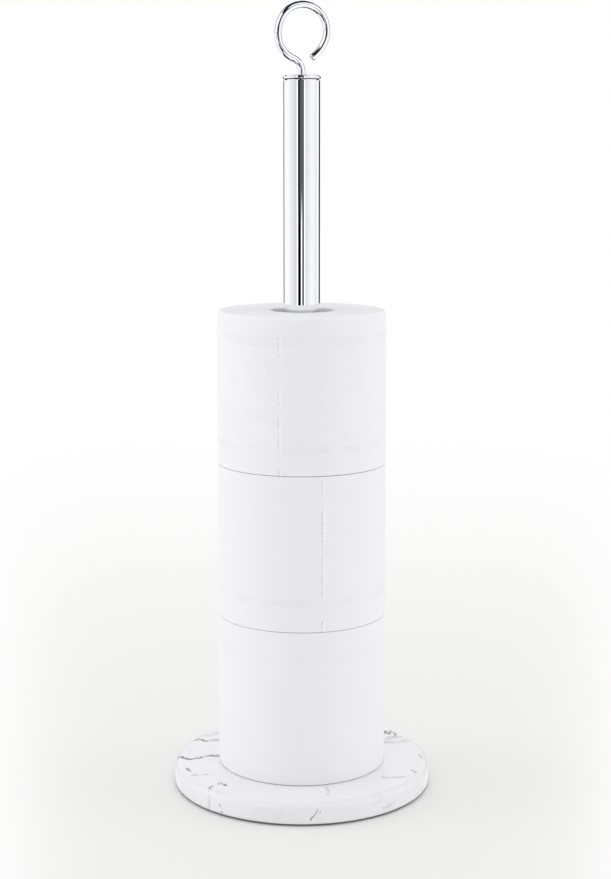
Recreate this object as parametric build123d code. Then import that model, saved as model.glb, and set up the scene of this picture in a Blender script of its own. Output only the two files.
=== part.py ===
from build123d import *
import os
from math import cos, radians, sin, tan

# Freestanding toilet paper holder: a weighted resin base, a two-length chromed pole with a
# bent-wire ring handle on its cap, and three rolls stacked on the pole.
# Millimetres, +Z up. The origin is on the pole's axis, in the plane that the stand rests on.
# The ring handle lies in the XZ plane and its free end is on the +X side.

# Driving dimensions of the base
base_diameter = 179.0
base_top = 16.1
base_top_edge = 5.0
base_bottom_edge = 1.0
pad_diameter = 166.0
pad_bore = 38.0
pad_thickness = 2.0
pad_proud = 0.8

# Driving dimensions of the pole
pole_diameter = 25.0
pole_wall = 1.0
pole_seat_depth = 1.5
pole_seat_clearance = 0.1
pole_top = 492.0
pole_shoulder = 0.9

# Driving dimensions of the cap and the bent wire
cap_diameter = 25.8
cap_flange = 2.5
cap_rim_bevel = 0.5
cap_plug_length = 10.0
cap_plug_wall = 2.0
cap_crown = 4.0
wire_diameter = 5.0
wire_end_chamfer = 0.5
wire_foot_length = 11.0
wire_stem = 2.6
# Each bend is (centre-line radius, angle): + turns left as the wire runs on, - turns right.
wire_bends = [(9.5, 67.0), (17.0, -49.0), (21.5, -51.5), (16.1, -111.5), (18.3, -54.0), (25.0, -36.5)]

# Driving dimensions of the stacked rolls, named from the base up
roll_names = ("bottom", "middle", "top")
roll_count = len(roll_names)
roll_diameter = 117.4
roll_length = 106.0
roll_gap = 0.3
core_bore = 41.4
core_wall = 0.8
core_recess = 1.0
paper_on_core = 0.25
paper_face_bevel = 0.9
paper_top_edge = 3.0
paper_bore_bevel = 0.8

# Fasteners, with the sizes of the standard parts
thread_diameter = 8.0
thread_lead = 0.8
bolt_length = 25.0
bolt_head_diameter = 14.0
bolt_head_height = 4.4
bolt_head_dome = 3.0
bolt_socket_flats = 5.0
bolt_socket_depth = 2.6
spring_washer_diameter = 14.2
spring_washer_thickness = 2.0
spring_washer_split = 0.8
spring_washer_slant = 35.0
flat_washer_diameter = 24.0
flat_washer_thickness = 1.5
counterbore_diameter = 27.0
counterbore_ceiling = 8.6
handle_washer_diameter = 12.0
handle_washer_thickness = 1.0
handle_nut_flats = 8.0
handle_nut_height = 4.0
handle_nut_corner = 0.3

# Inserts inside the tube, and the play left between parts
insert_gap = 0.02
insert_lead = 0.6
foot_plug_length = 20.0
joiner_socket_length = 20.0
joiner_stud_body = 18.0
joiner_stud_reach = 14.0
joiner_hole_spare = 2.0
thread_clearance = 0.05
hole_clearance = 0.1
washer_clearance = 0.3

# Values that follow from the driving dimensions
base_radius = base_diameter / 2
pole_radius = pole_diameter / 2
tube_bore_radius = pole_radius - pole_wall
insert_radius = tube_bore_radius - insert_gap
pole_foot = base_top - pole_seat_depth
pole_joint = (pole_foot + pole_top) / 2
cap_top = pole_top + cap_flange
cap_ceiling = cap_top - cap_crown
wire_radius = wire_diameter / 2
core_bore_radius = core_bore / 2
core_outer_radius = core_bore_radius + core_wall
paper_bore_radius = core_outer_radius + paper_on_core
roll_radius = roll_diameter / 2
roll_pitch = roll_length + roll_gap

# Edges closer than this to a wanted place are that place's own
same_place = 0.01


def ring_of(outer_radius, inner_radius, bottom, top):
    """A plain tube or washer about the pole's axis."""
    return Pos(0, 0, bottom) * (
        Cylinder(outer_radius, top - bottom, align=(Align.CENTER, Align.CENTER, Align.MIN))
        - Cylinder(inner_radius, top - bottom, align=(Align.CENTER, Align.CENTER, Align.MIN))
    )


def round_bar(radius, bottom, top):
    """A solid round bar about the pole's axis."""
    return Pos(0, 0, bottom) * Cylinder(radius, top - bottom, align=(Align.CENTER, Align.CENTER, Align.MIN))


def hexagon_bar(flats, bottom, top):
    """A hexagonal bar about the pole's axis, measured across its flats."""
    section = RegularPolygon(flats / 2, 6, major_radius=False)
    return Pos(0, 0, bottom) * extrude(section, top - bottom)


def turned(points):
    """The solid swept by turning a closed (radius, height) outline about the pole's axis."""
    outline = make_face(Polyline(*[(r, 0, z) for r, z in points], close=True))
    return revolve(outline, Axis.Z)


def edges_at(shape, radius, height):
    """The circular edges of a turned piece that lie at one radius and one height."""
    return [
        edge
        for edge in shape.edges().filter_by(GeomType.CIRCLE)
        if abs(edge.radius - radius) < same_place and abs(edge.center().Z - height) < same_place
    ]


def make_base_disc():
    """Cast disc: rounded top rim, seat for the pole, pad recess and bolt counterbore beneath."""
    recess_radius = pad_diameter / 2 + washer_clearance
    recess_ceiling = pad_thickness
    counterbore_radius = counterbore_diameter / 2
    bolt_hole_radius = thread_diameter / 2 + washer_clearance
    seat_radius = pole_radius + pole_seat_clearance
    disc = turned([
        (bolt_hole_radius, counterbore_ceiling),
        (counterbore_radius, counterbore_ceiling),
        (counterbore_radius, recess_ceiling),
        (recess_radius, recess_ceiling),
        (recess_radius, pad_proud),
        (base_radius, pad_proud),
        (base_radius, base_top),
        (seat_radius, base_top),
        (seat_radius, pole_foot),
        (bolt_hole_radius, pole_foot),
    ])
    disc = fillet(edges_at(disc, base_radius, base_top), base_top_edge)
    return chamfer(edges_at(disc, base_radius, pad_proud), base_bottom_edge)


def make_base_pad():
    """Non-slip foam ring let into the disc's underside, with its bore open for the bolt."""
    return ring_of(pad_diameter / 2, pad_bore / 2, 0, pad_thickness)


def washer_stack():
    """Heights of the parts drawn up under the disc: flat washer, spring washer, bolt head."""
    flat_bottom = counterbore_ceiling - flat_washer_thickness
    spring_bottom = flat_bottom - spring_washer_thickness
    head_bottom = spring_bottom - bolt_head_height
    return flat_bottom, spring_bottom, head_bottom


def make_bolt_washer():
    """Wide flat washer that spreads the bolt's pull over the resin."""
    flat_bottom = washer_stack()[0]
    hole_radius = thread_diameter / 2 + washer_clearance
    return ring_of(flat_washer_diameter / 2, hole_radius, flat_bottom, counterbore_ceiling)


def make_spring_washer():
    """Split spring washer: a square-section ring with a slanted cut through one side."""
    flat_bottom, spring_bottom, _ = washer_stack()
    middle = (flat_bottom + spring_bottom) / 2
    hole_radius = thread_diameter / 2 + hole_clearance
    washer = ring_of(spring_washer_diameter / 2, hole_radius, spring_bottom, flat_bottom)
    split = Box(spring_washer_diameter, spring_washer_split, 4 * spring_washer_thickness)
    return washer - Pos(spring_washer_diameter / 2, 0, middle) * Rot(spring_washer_slant, 0, 0) * split


def make_base_bolt():
    """Button-head screw with a domed head, a hexagon socket and a chamfered tip."""
    _, head_top, head_bottom = washer_stack()
    head = round_bar(bolt_head_diameter / 2, head_bottom, head_top)
    head = fillet(edges_at(head, bolt_head_diameter / 2, head_bottom), bolt_head_dome)
    shank_top = head_top + bolt_length
    shank = round_bar(thread_diameter / 2, head_top, shank_top)
    shank = chamfer(edges_at(shank, thread_diameter / 2, shank_top), thread_lead)
    socket = hexagon_bar(bolt_socket_flats, head_bottom, head_bottom + bolt_socket_depth)
    return head + shank - socket


def insert_body(bottom, top):
    """Round steel insert pressed into the tube, chamfered at both ends."""
    body = round_bar(insert_radius, bottom, top)
    return chamfer(edges_at(body, insert_radius, bottom) + edges_at(body, insert_radius, top), insert_lead)


def make_foot_plug():
    """Threaded insert in the pole's foot that takes the base bolt."""
    top = pole_foot + foot_plug_length
    body = insert_body(pole_foot, top)
    return body - round_bar(thread_diameter / 2 + thread_clearance, pole_foot, top)


def make_joiner_socket():
    """Threaded insert at the top of the lower length, blind at its lower end."""
    body = insert_body(pole_joint - joiner_socket_length, pole_joint)
    hole_bottom = pole_joint - joiner_stud_reach - joiner_hole_spare
    return body - round_bar(thread_diameter / 2 + thread_clearance, hole_bottom, pole_joint)


def make_joiner_stud():
    """Insert at the bottom of the upper length with a stud that screws into the socket."""
    stud_tip = pole_joint - joiner_stud_reach
    stud = round_bar(thread_diameter / 2, stud_tip, pole_joint)
    stud = chamfer(edges_at(stud, thread_diameter / 2, stud_tip), thread_lead)
    return insert_body(pole_joint, pole_joint + joiner_stud_body) + stud


def make_lower_pole():
    """Lower length of the tube, from its seat in the base to the screwed joint."""
    return ring_of(pole_radius, tube_bore_radius, pole_foot, pole_joint)


def make_upper_pole():
    """Upper length of the tube, its top shoulder rolled in under the cap."""
    tube = ring_of(pole_radius, tube_bore_radius, pole_joint, pole_top)
    return fillet(edges_at(tube, pole_radius, pole_top), pole_shoulder)


def make_pole_cap():
    """Turned cap: thin flange over the tube's end and a hollow plug inside it."""
    plug_bottom = pole_top - cap_plug_length
    stem_hole_radius = wire_radius + hole_clearance
    plug_bore_radius = insert_radius - cap_plug_wall
    flange_radius = cap_diameter / 2
    cap = turned([
        (stem_hole_radius, cap_ceiling),
        (plug_bore_radius, cap_ceiling),
        (plug_bore_radius, plug_bottom),
        (insert_radius, plug_bottom),
        (insert_radius, pole_top),
        (flange_radius, pole_top),
        (flange_radius, cap_top),
        (stem_hole_radius, cap_top),
    ])
    rims = edges_at(cap, flange_radius, cap_top) + edges_at(cap, flange_radius, pole_top)
    return chamfer(rims, cap_rim_bevel)


def wire_centre_line():
    """Foot, stem and bends of the handle as tangent runs and arcs in the XZ plane.

    The heading runs in degrees above +X.
    """
    x, z = 0.0, cap_top + wire_stem
    heading = 90.0
    edges = [Line((0, 0, cap_ceiling - wire_foot_length), (x, 0, z))]
    for radius, turn in wire_bends:
        side = 1.0 if turn > 0 else -1.0
        centre_x = x - side * radius * sin(radians(heading))
        centre_z = z + side * radius * cos(radians(heading))

        def on_arc(angle):
            return (
                centre_x + side * radius * sin(radians(angle)),
                0,
                centre_z - side * radius * cos(radians(angle)),
            )

        edges.append(ThreePointArc(on_arc(heading), on_arc(heading + turn / 2), on_arc(heading + turn)))
        heading += turn
        x, _, z = on_arc(heading)
    return edges


def make_ring_handle():
    """One bent wire: chamfered screwed foot, stem, S-bend and upright oval ring, sawn off flat."""
    edges = wire_centre_line()
    foot_z = edges[0].start_point().Z
    section = Plane.XY.offset(foot_z) * Circle(wire_radius)
    wire = sweep(section, path=Wire(edges))
    return chamfer(edges_at(wire, wire_radius, foot_z), wire_end_chamfer)


def make_handle_washer():
    """Plain washer against the ceiling of the cap."""
    bottom = cap_ceiling - handle_washer_thickness
    return ring_of(handle_washer_diameter / 2, wire_radius + hole_clearance, bottom, cap_ceiling)


def make_handle_nut():
    """Hexagon nut on the wire's threaded foot, its corners turned off at both ends."""
    top = cap_ceiling - handle_washer_thickness
    bottom = top - handle_nut_height
    corner_radius = handle_nut_flats / 2 / cos(radians(30))
    land = corner_radius - handle_nut_corner
    fall = handle_nut_corner * tan(radians(30))
    envelope = turned([
        (0, bottom),
        (land, bottom),
        (corner_radius, bottom + fall),
        (corner_radius, top - fall),
        (land, top),
        (0, top),
    ])
    nut = hexagon_bar(handle_nut_flats, bottom, top) & envelope
    return nut - round_bar(wire_radius + thread_clearance, bottom, top)


def roll_bottom(place):
    """Height of the underside of the roll at one place in the stack, counted from the base."""
    return base_top + roll_gap + place * roll_pitch


def make_core(place):
    """Cardboard tube of one roll, set in a little from both faces of the paper."""
    bottom = roll_bottom(place) + core_recess
    top = roll_bottom(place) + roll_length - core_recess
    return ring_of(core_outer_radius, core_bore_radius, bottom, top)


def make_paper(place):
    """Wound paper of one roll: edges broken, and the topmost face slumped to a round shoulder."""
    bottom = roll_bottom(place)
    top = bottom + roll_length
    paper = ring_of(roll_radius, paper_bore_radius, bottom, top)
    bore_edges = edges_at(paper, paper_bore_radius, top) + edges_at(paper, paper_bore_radius, bottom)
    paper = chamfer(bore_edges, paper_bore_bevel)
    paper = chamfer(edges_at(paper, roll_radius, bottom), paper_face_bevel)
    if place == roll_count - 1:
        return fillet(edges_at(paper, roll_radius, top), paper_top_edge)
    return chamfer(edges_at(paper, roll_radius, top), paper_face_bevel)


parts = {
    "base_pad": make_base_pad(),
    "base_disc": make_base_disc(),
    "base_bolt": make_base_bolt(),
    "bolt_washer": make_bolt_washer(),
    "spring_washer": make_spring_washer(),
    "foot_plug": make_foot_plug(),
    "lower_pole": make_lower_pole(),
    "joiner_socket": make_joiner_socket(),
    "joiner_stud": make_joiner_stud(),
    "upper_pole": make_upper_pole(),
    "pole_cap": make_pole_cap(),
    "ring_handle": make_ring_handle(),
    "handle_washer": make_handle_washer(),
    "handle_nut": make_handle_nut(),
}
for place, name in enumerate(roll_names):
    parts[name + "_core"] = make_core(place)
    parts[name + "_paper"] = make_paper(place)

os.makedirs("parts", exist_ok=True)
for name, shape in parts.items():
    export_step(shape, "parts/" + name + ".step")
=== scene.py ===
from math import cos, pi, radians, sin

import bpy
import numpy as np
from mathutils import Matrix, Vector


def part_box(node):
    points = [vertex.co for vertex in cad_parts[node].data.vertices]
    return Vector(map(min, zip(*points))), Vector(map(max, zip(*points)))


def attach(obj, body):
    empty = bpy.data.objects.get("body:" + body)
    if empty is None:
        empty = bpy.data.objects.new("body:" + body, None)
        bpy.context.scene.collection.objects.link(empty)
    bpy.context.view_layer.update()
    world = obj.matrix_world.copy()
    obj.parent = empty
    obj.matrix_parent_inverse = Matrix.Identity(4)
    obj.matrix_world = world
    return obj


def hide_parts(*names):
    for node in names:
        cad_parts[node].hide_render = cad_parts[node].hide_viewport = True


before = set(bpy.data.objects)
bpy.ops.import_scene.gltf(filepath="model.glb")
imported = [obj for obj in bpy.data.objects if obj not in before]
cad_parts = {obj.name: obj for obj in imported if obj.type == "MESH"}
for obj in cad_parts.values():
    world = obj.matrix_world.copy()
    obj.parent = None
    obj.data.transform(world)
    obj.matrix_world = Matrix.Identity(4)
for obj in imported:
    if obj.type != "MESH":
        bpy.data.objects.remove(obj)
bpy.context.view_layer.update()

# Looks of the freestanding toilet paper holder: every visible piece is worked out here as a smooth
# surface in the place of its solid, and gets its finish. Lengths are in millimetres up to the point
# where a mesh is filled, and the frame's boxes give the main sizes.

MM = 0.001


def span(node):
    """Lowest and highest corner of a solid, in millimetres."""
    low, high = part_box(node)
    return np.array(low) / MM, np.array(high) / MM


def radius_of(node):
    """Outer radius of a solid turned about the pole's axis."""
    return span(node)[1][0]


# Sizes read from the frame
BASE_RADIUS = radius_of("base_disc")
BASE_TOP = span("base_disc")[1][2]
BASE_FOOT = span("base_disc")[0][2]
PAD_RADIUS = radius_of("base_pad")
PAD_TOP = span("base_pad")[1][2]
POLE_RADIUS = radius_of("upper_pole")
POLE_FOOT = span("lower_pole")[0][2]
POLE_JOINT = span("upper_pole")[0][2]
POLE_TOP = span("upper_pole")[1][2]
CAP_RADIUS = radius_of("pole_cap")
CAP_TOP = span("pole_cap")[1][2]
CAP_FOOT = span("pole_cap")[0][2]
WIRE_FOOT = span("ring_handle")[0][2]
WIRE_RADIUS = span("ring_handle")[1][1]
ROLL_RADIUS = radius_of("top_paper")
CORE_RADIUS = radius_of("top_core")
BOLT_FOOT = span("base_bolt")[0][2]
BOLT_TIP = span("base_bolt")[1][2]
BOLT_HEAD_RADIUS = radius_of("base_bolt")
STUD_TIP = span("joiner_stud")[0][2]
INSERT_RADIUS = radius_of("joiner_stud")
INSERT_TOP = span("joiner_stud")[1][2]
ROLL_NAMES = ("bottom", "middle", "top")

# Sizes that the boxes don't show, the same as in the part's source
BASE_EDGE = 5.0
BOLT_HOLE = 4.3
COUNTERBORE_RADIUS = 13.5
COUNTERBORE_CEILING = 8.6
PAD_CLEARANCE = 0.3
SEAT_CLEARANCE = 0.1
WIRE_CLEARANCE = 0.1
PAD_BORE = 19.0
POLE_WALL = 1.0
POLE_SHOULDER = 0.9
CAP_CEILING = CAP_TOP - 4.0
CAP_PLUG_WALL = 2.0
WIRE_END_CHAMFER = 0.5
WIRE_STEM = 2.6
WIRE_BENDS = [(9.5, 67.0), (17.0, -49.0), (21.5, -51.5), (16.1, -111.5), (18.3, -54.0), (25.0, -36.5)]
CORE_BORE = 20.7
PAPER_BORE = 21.75
THREAD_RADIUS = 4.0
BOLT_HEAD = 4.4
BOLT_DOME = 3.0
BOLT_SOCKET_FLATS = 5.0
BOLT_SOCKET_DEPTH = 2.6

# Sizes that only the looks have: the base's lower edge is rounder than its solid's chamfer, the
# threads are cut, one ply is left loose at the tail of a roll, and the board of a core is wound
BASE_BEVEL = 2.4
THREAD_PITCH = 1.25
WIRE_THREAD_PITCH = 0.8
PAPER_PLY = 0.28
CORE_PLY_CLIMB = 68.0

# The photograph's frame and its viewpoint
PHOTO_WIDTH = 611
PHOTO_HEIGHT = 879
VIEW_FROM = radians(-10.0)
VIEW_DISTANCE = 1200.0
VIEW_HEIGHT = 446.5
VIEW_TILT = radians(6.69)
FOCAL_PIXELS = 1748.0
AXIS_PIXEL = 301.8
HORIZON_SHIFT = -0.10
SENSOR = 36.0


# Surfaces


# Least rounding of a corner, and the widest of the narrow gaps beside it
LEAST_ROUNDING = 0.02
GUARD_GAP = 0.15

# Depth of a thread as a share of its pitch, and the height of a roll that a ripple is set by
THREAD_DEPTH = 0.61
RIPPLE_HEIGHT = 106.0


def put(name, data):
    """A new object in the scene."""
    made = bpy.data.objects.new(name, data)
    bpy.context.scene.collection.objects.link(made)
    return made


def fill_mesh(name, points, faces):
    """An object at the origin from points in millimetres, smooth, with its faces turned outwards."""
    corners = points[faces[:, :3]]
    volume = np.einsum("ij,ij->i", corners[:, 0], np.cross(corners[:, 1], corners[:, 2])).sum()
    if volume < 0:
        faces = faces[:, ::-1]
    mesh = bpy.data.meshes.new(name)
    mesh.vertices.add(len(points))
    mesh.vertices.foreach_set("co", (points * MM).astype(np.float32).ravel())
    mesh.loops.add(faces.size)
    mesh.loops.foreach_set("vertex_index", faces.astype(np.int32).ravel())
    mesh.polygons.add(len(faces))
    mesh.polygons.foreach_set("loop_start", np.arange(0, faces.size, 4, dtype=np.int32))
    mesh.polygons.foreach_set("use_smooth", np.ones(len(faces), dtype=bool))
    mesh.update()
    mesh.validate()
    return put(name, mesh)


def loop_faces(rows, columns, rows_close):
    """Quads of a grid whose columns always close, and whose rows close when the outline is a loop."""
    index = np.arange(rows * columns).reshape(rows, columns)
    lower = index if rows_close else index[:-1]
    upper = np.roll(index, -1, axis=0) if rows_close else index[1:]
    return np.stack([lower, np.roll(lower, -1, 1), np.roll(upper, -1, 1), upper], axis=-1).reshape(-1, 4)


def turned_surface(name, radius, height, rows_close=True):
    """A surface about the axis: point (i, j) is at radius[i, j], height[i, j], angle 2 pi j / columns."""
    rows, columns = radius.shape
    angle = turn_angles(columns)
    points = np.stack([radius * np.cos(angle), radius * np.sin(angle), height], axis=-1).reshape(-1, 3)
    faces = loop_faces(rows, columns, rows_close)
    if not rows_close:
        points, faces = close_poles(points, faces, rows, columns)
    return fill_mesh(name, points, faces)


def turn_angles(columns):
    """Evenly spaced angles once round the axis."""
    return np.arange(columns) * 2 * pi / columns


def close_poles(points, faces, rows, columns):
    """Closes both ends of a tube with quads over pairs of columns that meet in a point at the middle."""
    first = np.arange(columns)
    last = first + (rows - 1) * columns
    caps = []
    for rim in (first, last):
        middle = len(points)
        points = np.vstack([points, points[rim].mean(axis=0)])
        even = rim[0::2]
        odd = rim[1::2]
        after = np.roll(even, -1)
        caps.append(np.stack([np.full(len(even), middle), after, odd, even], axis=-1))
    caps[1] = caps[1][:, ::-1]
    return points, np.vstack([faces, caps[0], caps[1]])


def outline(corners, spacing=2.0, steps=6):
    """Points along a closed outline of (radius, height, rounding) corners.

    A corner is an arc tangent to both sides, which starts rounding / tan(half the corner's angle)
    from it. Straight runs are divided so that no gap is over the spacing, with a narrow gap beside
    each arc.
    """
    place = np.array([corner[:2] for corner in corners], float)
    rounding = np.maximum([corner[2] for corner in corners], LEAST_ROUNDING)
    run = []
    for i, here in enumerate(place):
        back = place[i - 1] - here
        ahead = place[(i + 1) % len(place)] - here
        back /= np.linalg.norm(back)
        ahead /= np.linalg.norm(ahead)
        half = np.arccos(np.clip(back @ ahead, -1, 1)) / 2
        cut = rounding[i] / np.tan(half)
        start = here + back * cut
        end = here + ahead * cut
        inwards = (back + ahead) / np.linalg.norm(back + ahead)
        centre = here + inwards * rounding[i] / np.sin(half)
        t = np.linspace(0, 1, steps + 1)[:, None]
        arc = start * (1 - t) + end * t - centre
        arc *= rounding[i] / np.linalg.norm(arc, axis=1, keepdims=True)
        run.append(centre + arc)
    points = []
    for i, arc in enumerate(run):
        points.append(arc)
        gap = run[(i + 1) % len(run)][0] - arc[-1]
        length = np.linalg.norm(gap)
        guard = min(GUARD_GAP, length / 4)
        count = max(int(np.ceil((length - 2 * guard) / spacing)), 1)
        t = np.linspace(guard, length - guard, count + 1)[:, None] / max(length, 1e-9)
        points.append(arc[-1] + gap * t)
    return np.vstack(points)


def carried_round(profile, columns):
    """Radius and height of an outline's points, the same in every column."""
    return np.repeat(profile[:, :1], columns, axis=1), np.repeat(profile[:, 1:], columns, axis=1)


def plain_turned(name, corners, columns=192, spacing=2.0, steps=6):
    """A turned piece straight from its closed outline."""
    return turned_surface(name, *carried_round(outline(corners, spacing, steps), columns))


def turned_rows(name, rows):
    """A turned piece closed at both ends, from rows of radii all round and one height."""
    radius = np.stack([row[0] for row in rows])
    height = np.repeat(np.array([row[1] for row in rows])[:, None], radius.shape[1], axis=1)
    return turned_surface(name, radius, height, rows_close=False)


def thread_cut(height, angle, pitch, start, end):
    """Depth of a screw thread: a rounded V that climbs one pitch a turn and fades in over half a pitch."""
    phase = height / pitch - angle / (2 * pi)
    valley = 0.5 - 0.5 * np.cos(2 * pi * phase)
    fade = np.clip((height - start) / pitch * 2, 0, 1) * np.clip((end - height) / pitch * 2, 0, 1)
    return THREAD_DEPTH * pitch * valley * fade


def ripple(angle, height, seed, waves):
    """Smooth unevenness from -1 to 1: a seeded sum of sines that close round the axis.

    Each sine has one to six crests round the axis and up to three over the given height.
    """
    draw = np.random.default_rng(seed)
    total = np.zeros(np.broadcast(angle, height).shape)
    for _ in range(waves):
        turns = draw.integers(1, 7)
        climb = draw.uniform(-1, 1) * 2 * pi / RIPPLE_HEIGHT * 3
        total += np.sin(turns * angle + climb * height + draw.uniform(0, 2 * pi))
    return total / waves


# Pieces


# What is added to a roll's seed for its end faces
FACE_SEED = 50


def make_base_disc():
    """Cast disc: a rounded top rim, the pole's seat, and the pad recess and counterbore beneath."""
    recess = PAD_RADIUS + PAD_CLEARANCE
    seat = POLE_RADIUS + SEAT_CLEARANCE
    return plain_turned(
        "marble_look_base",
        [
            (BOLT_HOLE, COUNTERBORE_CEILING, 0.1),
            (COUNTERBORE_RADIUS, COUNTERBORE_CEILING, 0.1),
            (COUNTERBORE_RADIUS, PAD_TOP, 0.3),
            (recess, PAD_TOP, 0.1),
            (recess, BASE_FOOT, 0.3),
            (BASE_RADIUS, BASE_FOOT, BASE_BEVEL),
            (BASE_RADIUS, BASE_TOP, BASE_EDGE),
            (seat, BASE_TOP, 0.3),
            (seat, POLE_FOOT, 0.1),
            (BOLT_HOLE, POLE_FOOT, 0.2),
        ],
        columns=288,
        spacing=2.5,
        steps=12,
    )


def make_base_pad():
    """Foam ring under the base, its edges pressed a little round."""
    return plain_turned(
        "non_slip_pad",
        [(PAD_BORE, 0, 0.4), (PAD_RADIUS, 0, 0.4), (PAD_RADIUS, PAD_TOP, 0.3), (PAD_BORE, PAD_TOP, 0.3)],
        columns=192,
        spacing=3.0,
    )


def make_tube(name, foot, top, shoulder):
    """One length of the pole: tube wall with a small lead at the foot and a rolled shoulder on top."""
    bore = POLE_RADIUS - POLE_WALL
    return plain_turned(
        name,
        [(bore, foot, 0.1), (POLE_RADIUS, foot, 0.12), (POLE_RADIUS, top, shoulder), (bore, top, 0.05)],
        columns=192,
        spacing=12.0,
        steps=8,
    )


def make_pole_cap():
    """Turned cap: a thin flange with soft rims, a hole for the wire and a hollow plug below."""
    bore = INSERT_RADIUS - CAP_PLUG_WALL
    hole = WIRE_RADIUS + WIRE_CLEARANCE
    return plain_turned(
        "pole_cap_top",
        [
            (hole, CAP_CEILING, 0.1),
            (bore, CAP_CEILING, 0.3),
            (bore, CAP_FOOT, 0.2),
            (INSERT_RADIUS, CAP_FOOT, 0.4),
            (INSERT_RADIUS, POLE_TOP, 0.05),
            (CAP_RADIUS, POLE_TOP, 0.5),
            (CAP_RADIUS, CAP_TOP, 0.6),
            (hole, CAP_TOP, 0.15),
        ],
        columns=192,
        spacing=2.0,
        steps=8,
    )


def wire_line():
    """Centre line of the bent wire in the XZ plane: places, headings and distances run.

    The foot and stem rise straight, and each bend is an arc of its radius that turns the heading by
    its angle, to the left if positive.
    """
    rise_step = 0.1
    degrees_a_step = 1.5
    stem_top = CAP_TOP + WIRE_STEM
    rise = np.arange(WIRE_FOOT, stem_top, rise_step)
    x = [np.zeros_like(rise)]
    z = [rise]
    heading = [np.full_like(rise, pi / 2)]
    at = np.array([0.0, stem_top])
    facing = pi / 2
    for radius, turn in WIRE_BENDS:
        side = 1.0 if turn > 0 else -1.0
        centre = at + side * radius * np.array([-sin(facing), cos(facing)])
        swept = np.linspace(0, radians(turn), int(abs(turn) / degrees_a_step) + 2)[:-1]
        angle = facing + swept
        x.append(centre[0] + side * radius * np.sin(angle))
        z.append(centre[1] - side * radius * np.cos(angle))
        heading.append(angle)
        facing += radians(turn)
        at = centre + side * radius * np.array([sin(facing), -cos(facing)])
    x.append(np.array([at[0]]))
    z.append(np.array([at[1]]))
    heading.append(np.array([facing]))
    x, z, heading = np.concatenate(x), np.concatenate(z), np.concatenate(heading)
    run = np.concatenate([[0], np.cumsum(np.hypot(np.diff(x), np.diff(z)))])
    return x, z, heading, run


def make_ring_handle():
    """The bent wire: a round section carried along its centre line, with a thread cut on the foot.

    Point (i, j) is centre[i] + r[i, j] * (cos a * side[i] + sin a * Y), where side is square to the
    heading in the plane of the ring. Both ends are chamfered, and the free end is sawn flat.
    """
    x, z, heading, run = wire_line()
    columns = 64
    plain_neck = 0.6
    angle = turn_angles(columns)
    from_end = run[-1] - run
    lead = np.clip(np.minimum(run, from_end) / WIRE_END_CHAMFER, 0, 1)
    radius = np.repeat((WIRE_RADIUS - WIRE_END_CHAMFER * (1 - lead))[:, None], columns, axis=1)
    thread_top = CAP_CEILING - WIRE_FOOT - plain_neck
    radius -= thread_cut(run[:, None], angle[None, :], WIRE_THREAD_PITCH, WIRE_END_CHAMFER, thread_top)
    across = radius * np.cos(angle)
    points = np.stack(
        [
            x[:, None] - across * np.sin(heading)[:, None],
            radius * np.sin(angle),
            z[:, None] + across * np.cos(heading)[:, None],
        ],
        axis=-1,
    ).reshape(-1, 3)
    faces = loop_faces(len(x), columns, False)
    points, faces = close_poles(points, faces, len(x), columns)
    return fill_mesh("bent_wire_ring", points, faces)


def make_core(name):
    """Wound board tube: where two plies meet, a shallow groove climbs round the wall.

    The groove is a bell curve across the place where height / climb - angle / (2 pi) passes a half.
    """
    low, high = span(name + "_core")
    wall = CORE_RADIUS - CORE_BORE
    rim = wall * 0.4
    foot = [(CORE_BORE, low[2], rim), (CORE_RADIUS, low[2], rim)]
    top = [(CORE_RADIUS, high[2], rim), (CORE_BORE, high[2], rim)]
    profile = outline(foot + top, spacing=1.5, steps=4)
    columns = 240
    angle = turn_angles(columns)[None, :]
    radius, height = carried_round(profile, columns)
    phase = (height / CORE_PLY_CLIMB - angle / (2 * pi)) % 1.0
    groove_reach = 1.1
    groove = np.exp(-(((phase - 0.5) * CORE_PLY_CLIMB / groove_reach) ** 2))
    inner = radius < CORE_BORE + wall * 0.3
    radius = radius + np.where(inner, 0.14 * groove, -0.10 * groove)
    return turned_surface(name + "_board_core", radius, height)


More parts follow.
